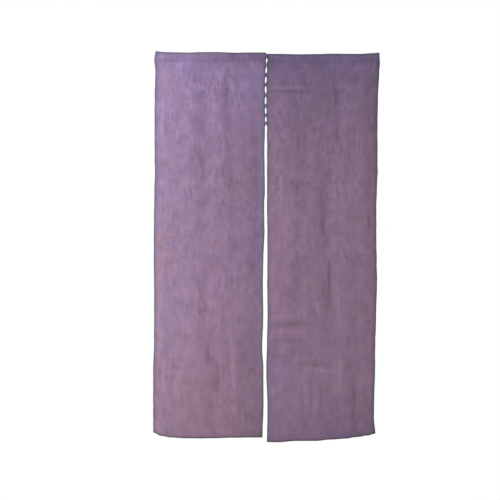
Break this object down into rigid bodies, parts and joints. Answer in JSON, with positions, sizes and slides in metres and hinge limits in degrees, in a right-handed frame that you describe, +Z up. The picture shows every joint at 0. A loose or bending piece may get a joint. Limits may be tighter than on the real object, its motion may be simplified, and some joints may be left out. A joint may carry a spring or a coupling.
{
  "type": "noren curtain",
  "caption": "Split doorway curtain of plain dyed hemp cloth: long flat panels laced together at the top of the slit, with an open rod sleeve along the top edge.",
  "frame": {"origin": "middle of the curtain's top edge, between the two panels, where the rod sleeve hangs", "axes": "+X along the rod to the right as seen from the room, -Y towards the room, +Z up"},
  "size_m": [0.88, 0.0248, 1.524],
  "materials": {
    "hemp_cloth": "matt hand-dyed plain weave with slubs",
    "lacing_thread": "matt twisted hemp thread"
  },
  "bodies": {
    "root": {"panel_left": "hemp_cloth", "sleeve_left": "hemp_cloth", "panel_right": "hemp_cloth", "sleeve_right": "hemp_cloth", "lace_cross_1": "lacing_thread", "lace_cross_2": "lacing_thread", "lace_cross_3": "lacing_thread", "lace_cross_4": "lacing_thread", "lace_cross_5": "lacing_thread", "lace_cross_6": "lacing_thread", "lace_cross_7": "lacing_thread", "lace_bar": "lacing_thread"}
  },
  "joints": []
}
